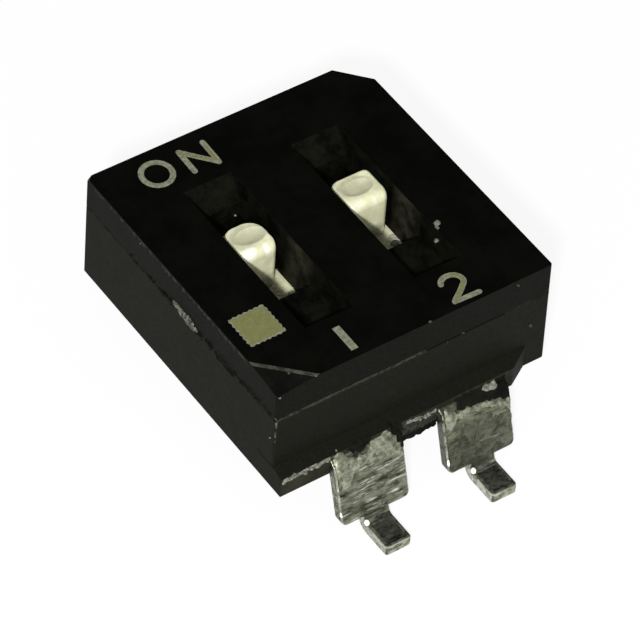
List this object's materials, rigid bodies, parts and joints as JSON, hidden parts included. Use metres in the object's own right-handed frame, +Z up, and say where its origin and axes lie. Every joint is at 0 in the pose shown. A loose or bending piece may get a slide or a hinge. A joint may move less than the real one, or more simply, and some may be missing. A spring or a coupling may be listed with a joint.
{
  "type": "slide dip switch",
  "caption": "Surface-mount slide DIP switch: black slotted cover on a black base, ivory sliders with dished knobs, gull-wing solder leads.",
  "frame": {"origin": "Centre of the footprint, on the plane of the solder feet's soles.", "axes": "+X along the row of positions, from 1 to 2; +Y towards the ON side; +Z up, away from the board."},
  "size_m": [0.0066, 0.01, 0.0041],
  "materials": {
    "black_moulding": "matt black heat-resistant plastic with a fine moulded grain",
    "ivory_moulding": "smooth ivory plastic with a soft sheen",
    "tinned_sheet": "dull tin plating, drawn and scratched",
    "spring_wire": "bright stainless spring wire",
    "contact_plating": "gold plating over a polished ball"
  },
  "bodies": {
    "housing": {"base": "black_moulding", "cover": "black_moulding", "terminal_front_1": "tinned_sheet", "terminal_front_2": "tinned_sheet", "terminal_rear_1": "tinned_sheet", "terminal_rear_2": "tinned_sheet"},
    "slide_1": {"slider_1": "ivory_moulding", "spring_1": "spring_wire", "ball_1": "contact_plating"},
    "slide_2": {"slider_2": "ivory_moulding", "spring_2": "spring_wire", "ball_2": "contact_plating"}
  },
  "joints": [
    {"name": "switch_1", "type": "slide", "parent": "housing", "child": "slide_1", "axis": [0, 1, 0], "range_m": [-0.0009, 0]},
    {"name": "switch_2", "type": "slide", "parent": "housing", "child": "slide_2", "axis": [0, 1, 0], "range_m": [-0.0009, 0]}
  ]
}
